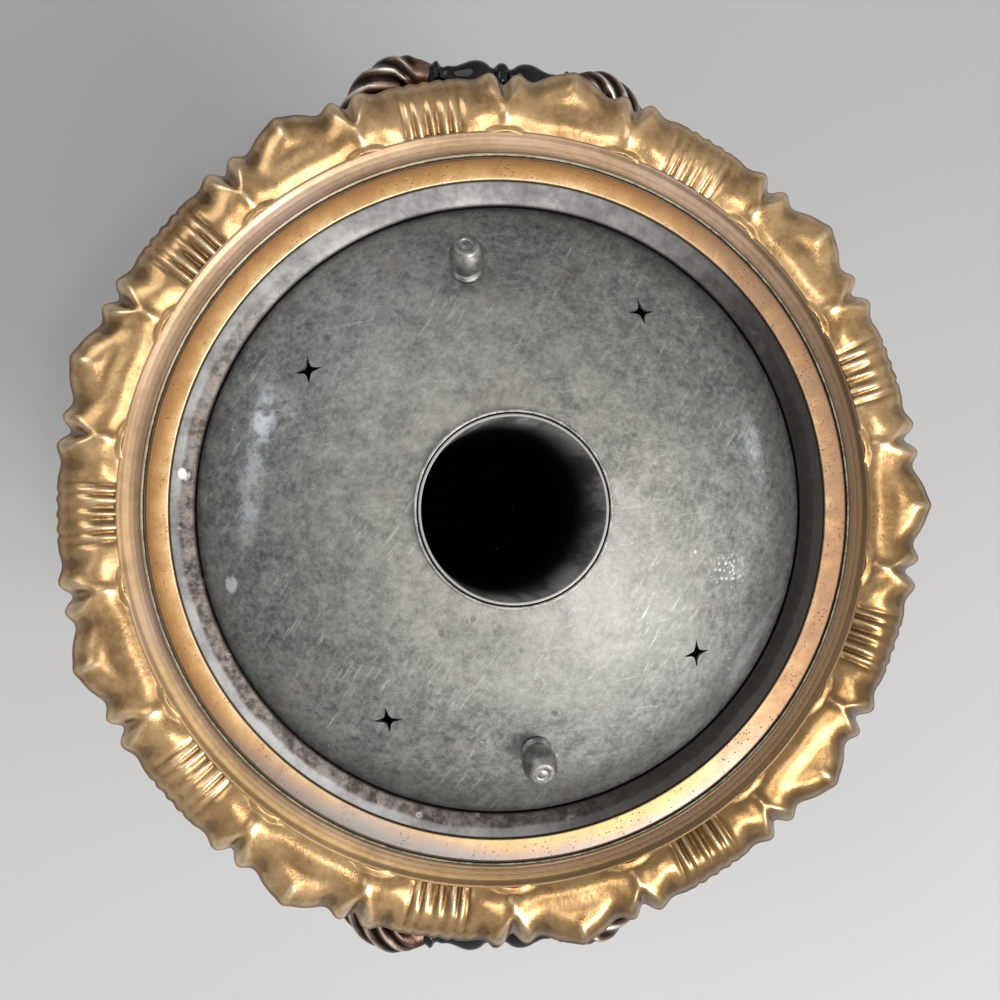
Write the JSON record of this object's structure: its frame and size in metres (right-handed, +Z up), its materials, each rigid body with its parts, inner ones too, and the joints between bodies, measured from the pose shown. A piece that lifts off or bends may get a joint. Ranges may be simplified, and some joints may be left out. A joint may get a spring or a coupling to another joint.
{
  "type": "samovar",
  "caption": "Coal-fired samovar with a ruffled shoulder, a lift-off domed lid round its fire tube, two side handles and a quarter-turn tap.",
  "frame": {"origin": "on the table, under the centre of the fire tube", "axes": "+Z up, +X towards the tap, +Y towards the right handle"},
  "size_m": [0.3612, 0.382, 0.4512],
  "materials": {
    "patinated_brass": "golden-brown patina, satin polished on the crests",
    "brown_brass": "brown turned brass with fine rings",
    "bare_ring": "bare copper-orange, pitted",
    "tinned_ledge": "dull tinning with mineral marks",
    "tinned_sheet": "dark mottled tinning with scratches",
    "tinned_knob": "turned, tinned",
    "sooty_tube": "sooty inside, bare at the rim",
    "cast_grate": "rough cast",
    "steel": "plain",
    "black_wood": "black, glossy",
    "dark_bronze": "dark brown patina, rubbed on the ribs",
    "tap_brass": "worn brass"
  },
  "bodies": {
    "urn": {"shoulder_drape": "patinated_brass", "body_shell": "patinated_brass", "body_belly": "patinated_brass", "body_bowl": "patinated_brass", "body_bottom": "patinated_brass", "foot_base": "patinated_brass", "foot_stem": "patinated_brass", "waist_ring": "patinated_brass", "foot_front_right": "patinated_brass", "foot_rear_right": "patinated_brass", "foot_rear_left": "patinated_brass", "foot_front_left": "patinated_brass", "cove_collar": "brown_brass", "neck_ring": "bare_ring", "inner_ledge": "tinned_ledge", "fire_tube": "sooty_tube", "tube_flange": "tinned_sheet", "grate": "cast_grate", "foot_plate": "cast_grate", "foot_screws": "steel", "handle_bolts": "steel", "right_handle_grip": "black_wood", "right_handle_rod": "steel", "right_handle_front_arm": "dark_bronze", "right_handle_rear_arm": "dark_bronze", "left_handle_grip": "black_wood", "left_handle_rod": "steel", "left_handle_front_arm": "dark_bronze", "left_handle_rear_arm": "dark_bronze", "tap_rosette": "tap_brass", "tap_body": "tap_brass", "tap_back_nut": "tap_brass"},
    "lid": {"lid_plate": "tinned_sheet", "lid_sleeve": "tinned_sheet", "lid_skirt": "tinned_sheet", "lid_knob_right": "tinned_knob", "lid_knob_left": "tinned_knob", "lid_knob_nuts": "steel"},
    "tap_plug_body": {"tap_plug": "tap_brass", "tap_key": "tap_brass", "tap_washer": "tap_brass", "tap_nut": "tap_brass"}
  },
  "joints": [
    {"name": "lid_lift", "type": "slide", "parent": "urn", "child": "lid", "axis": [0, 0, 1], "range_m": [0, 0.06]},
    {"name": "tap_turn", "type": "hinge", "parent": "urn", "child": "tap_plug_body", "pos_m": [0.148, 0, 0.15], "axis": [0, 0, 1], "range_deg": [0, 90]}
  ]
}
